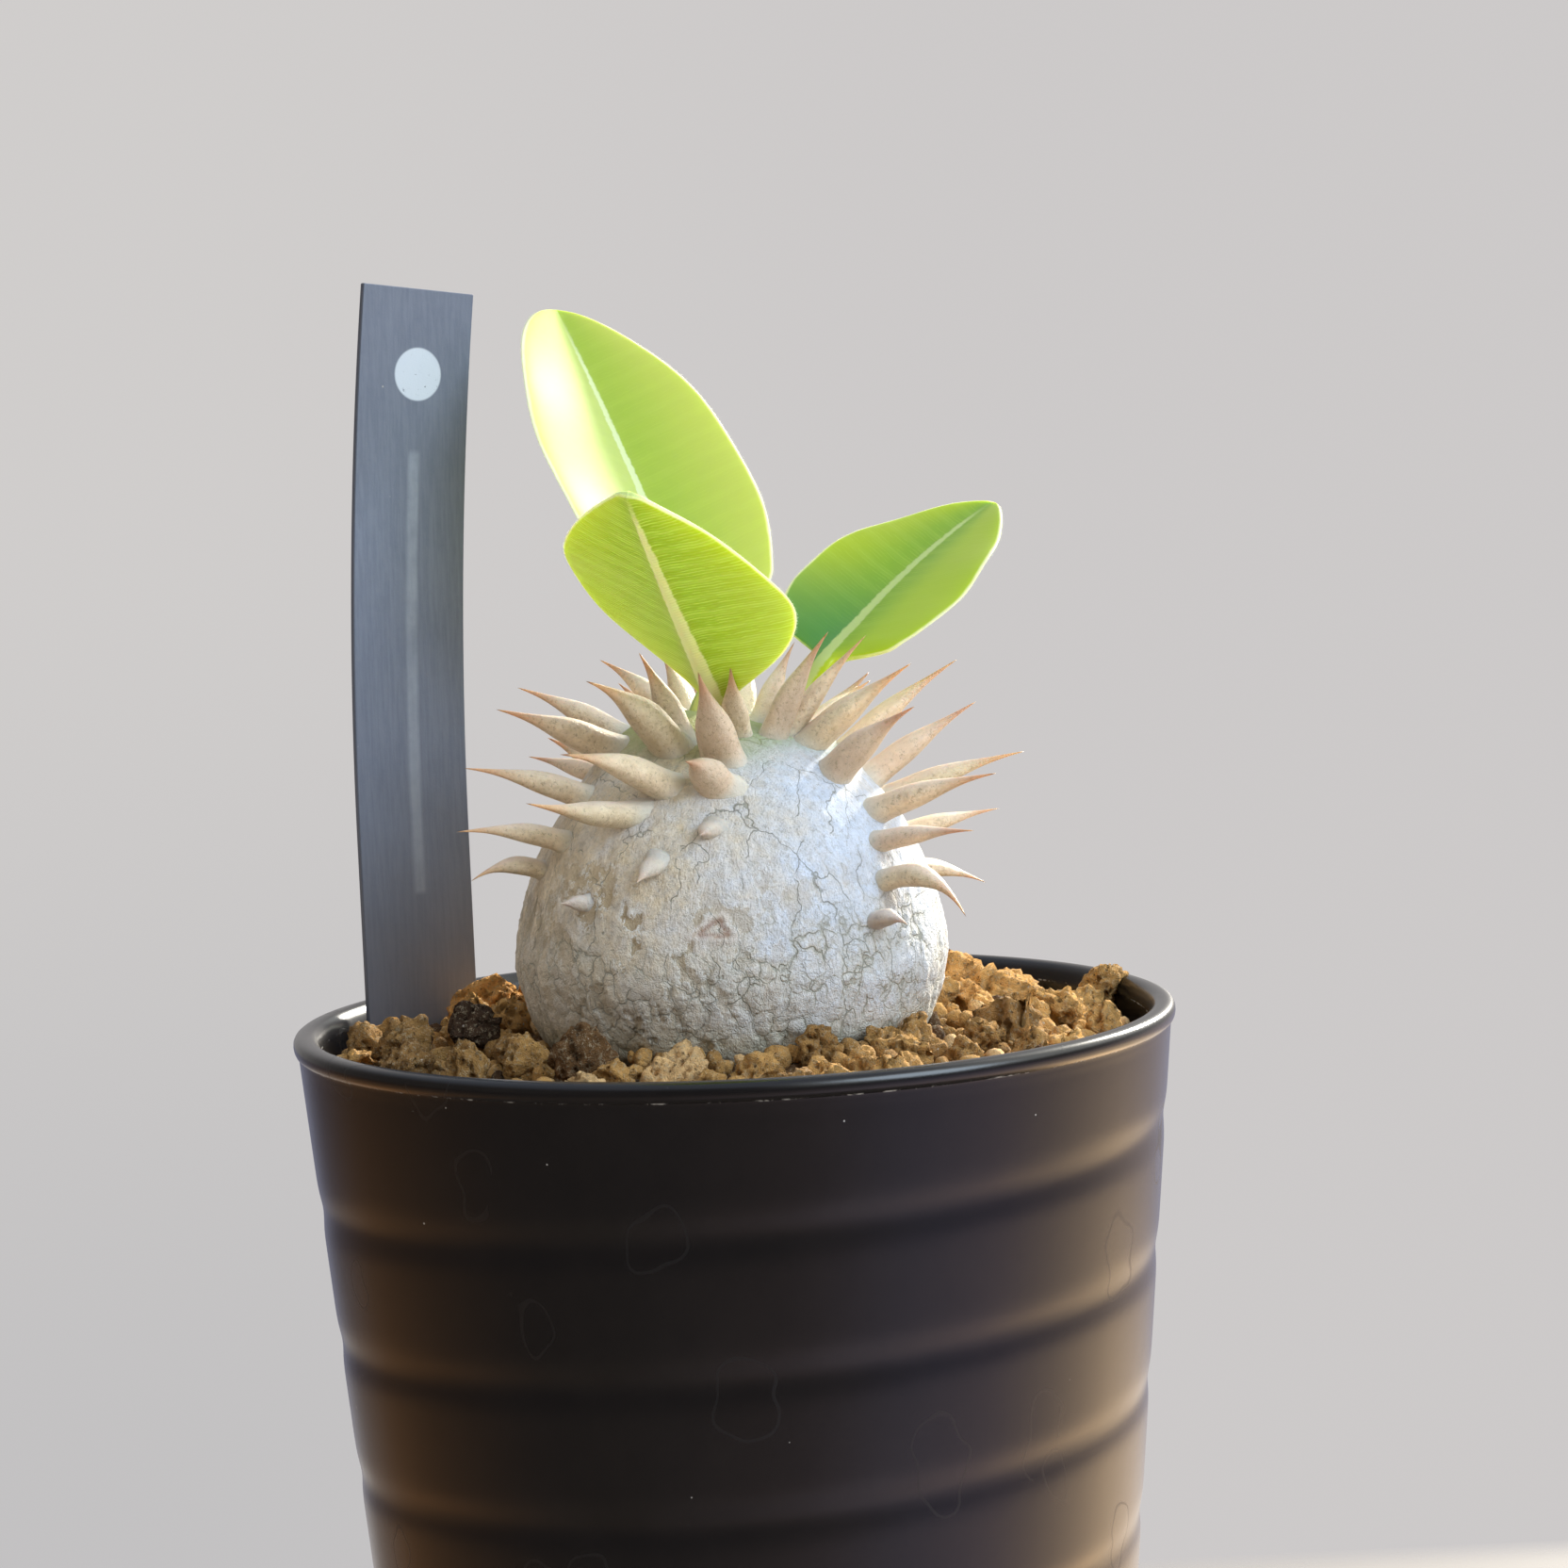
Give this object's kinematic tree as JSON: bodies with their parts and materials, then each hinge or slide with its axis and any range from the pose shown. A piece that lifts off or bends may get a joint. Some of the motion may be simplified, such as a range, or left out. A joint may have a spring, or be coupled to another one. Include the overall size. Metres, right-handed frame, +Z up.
{
  "type": "potted caudex succulent",
  "caption": "Small swollen-stem succulent with a spiny crown and a few broad leaves, growing in a round tapered pot of granular soil with a plain plant tag.",
  "frame": {"origin": "middle of the pot's foot, on the surface that the pot stands on", "axes": "+Z up the plant; -Y towards the front, the side with the bare stripe of the stem; +X to the right seen from the front"},
  "size_m": [0.092, 0.092, 0.17],
  "materials": {
    "pot_plastic": "satin near-black moulded plastic",
    "soil_granules": "dry porous tan and brown fired-clay granules",
    "bark": "pale grey cracked bark with tan spines",
    "leaf": "soft satin yellow-green leaf with a pale midrib",
    "tag_plastic": "matte dark blue-grey plastic strip"
  },
  "bodies": {
    "root": {"pot": "pot_plastic", "soil": "soil_granules", "caudex": "bark", "leaf_back": "leaf", "leaf_front": "leaf", "leaf_right": "leaf", "name_tag": "tag_plastic"}
  },
  "joints": []
}
